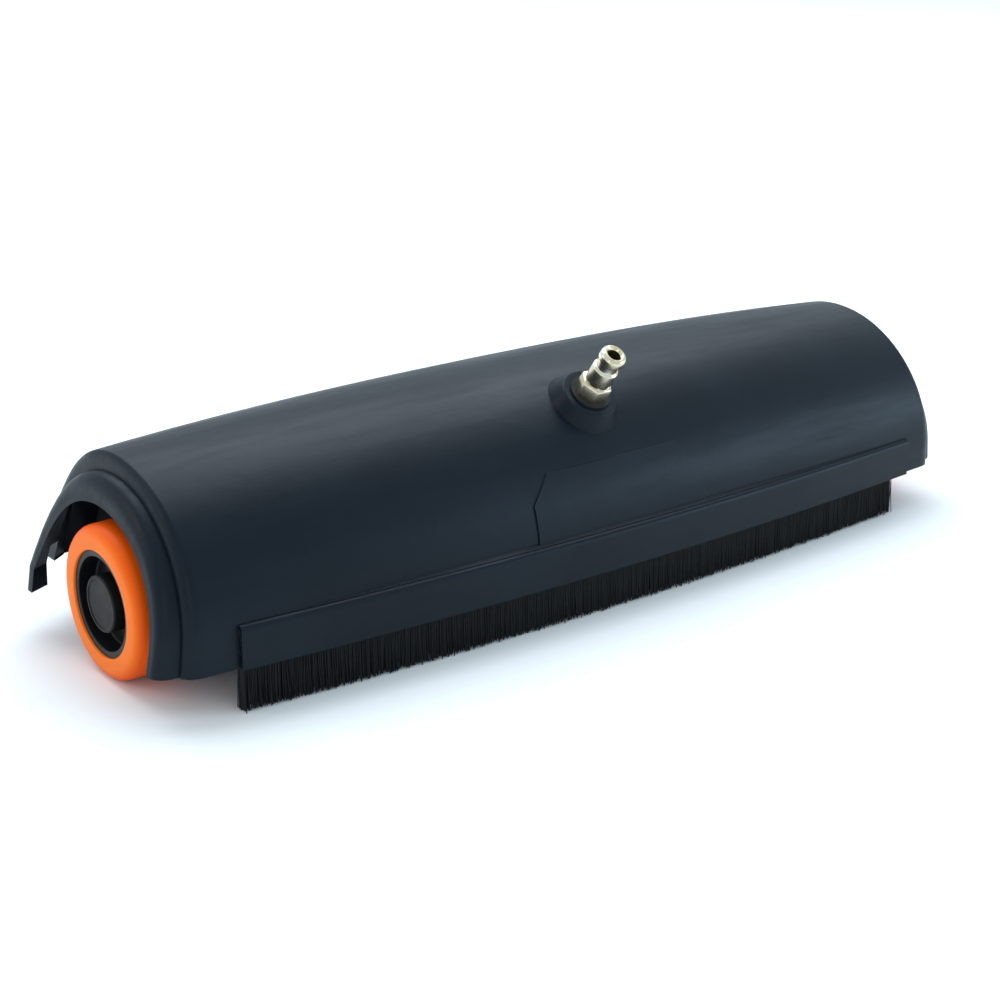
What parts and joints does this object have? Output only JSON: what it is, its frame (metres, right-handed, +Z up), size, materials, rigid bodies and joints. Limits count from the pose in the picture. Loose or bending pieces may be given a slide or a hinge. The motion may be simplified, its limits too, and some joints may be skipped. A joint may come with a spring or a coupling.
{
  "type": "pressure washer water broom head",
  "caption": "Arched floor-scrubbing broom head with end wheels, front and rear strip brushes, an internal spray bar and a quick-connect water inlet.",
  "frame": {"origin": "on the floor under the middle of the hood, at the height of the wheel treads and the bristle tips", "axes": "+X along the hood towards the right-hand wheel, -Y to the front, where the inlet leans, +Z up"},
  "size_m": [0.4556, 0.152, 0.1153],
  "materials": {
    "hood_plastic": "black moulded plastic, fine satin grain",
    "bristle_black": "black nylon filament",
    "zinc_strip": "galvanised strip",
    "screw_steel": "bright zinc plated",
    "inlet_zinc": "yellow zinc plated, turned",
    "seal_rubber": "black nitrile",
    "screen_steel": "perforated stainless sheet",
    "block_brass": "machined brass",
    "bar_steel": "drawn stainless tube",
    "nozzle_brass": "turned brass",
    "plate_steel": "black powder coat",
    "axle_steel": "zinc plated",
    "tyre_orange": "cast polyurethane, satin",
    "hub_black": "moulded nylon, satin",
    "cap_grey": "moulded nylon, matt",
    "bearing_steel": "ground steel"
  },
  "bodies": {
    "frame": {"hood": "hood_plastic", "front_brush_channel": "zinc_strip", "front_bristles": "bristle_black", "front_brush_screws": "screw_steel", "rear_brush_channel": "zinc_strip", "rear_bristles": "bristle_black", "rear_brush_screws": "screw_steel", "inlet_plug": "inlet_zinc", "inlet_seal": "seal_rubber", "inlet_gasket": "seal_rubber", "inlet_screen": "screen_steel", "manifold_block": "block_brass", "spray_bar_left": "bar_steel", "spray_bar_right": "bar_steel", "spray_bar_end_plugs": "block_brass", "nozzle_1": "nozzle_brass", "nozzle_2": "nozzle_brass", "nozzle_3": "nozzle_brass", "nozzle_4": "nozzle_brass", "nozzle_seals": "seal_rubber", "bar_clamp_left": "hood_plastic", "bar_clamp_right": "hood_plastic", "clamp_screws": "screw_steel", "axle_plate_left": "plate_steel", "plate_screws_left": "screw_steel", "axle_bolt_left": "axle_steel", "axle_spacer_left": "axle_steel", "axle_washer_left": "axle_steel", "axle_nut_left": "axle_steel", "axle_plate_right": "plate_steel", "plate_screws_right": "screw_steel", "axle_bolt_right": "axle_steel", "axle_spacer_right": "axle_steel", "axle_washer_right": "axle_steel", "axle_nut_right": "axle_steel"},
    "left_wheel": {"tyre_left": "tyre_orange", "wheel_hub_left": "hub_black", "wheel_bearings_left": "bearing_steel", "bearing_spacer_left": "axle_steel", "hub_cap_left": "cap_grey"},
    "right_wheel": {"tyre_right": "tyre_orange", "wheel_hub_right": "hub_black", "wheel_bearings_right": "bearing_steel", "bearing_spacer_right": "axle_steel", "hub_cap_right": "cap_grey"}
  },
  "joints": [
    {"name": "left_wheel_spin", "type": "hinge", "parent": "frame", "child": "left_wheel", "pos_m": [-0.2124, -0.0062, 0.0325], "axis": [1, 0, 0], "continuous": true},
    {"name": "right_wheel_spin", "type": "hinge", "parent": "frame", "child": "right_wheel", "pos_m": [0.2124, -0.0062, 0.0325], "axis": [1, 0, 0], "continuous": true}
  ]
}
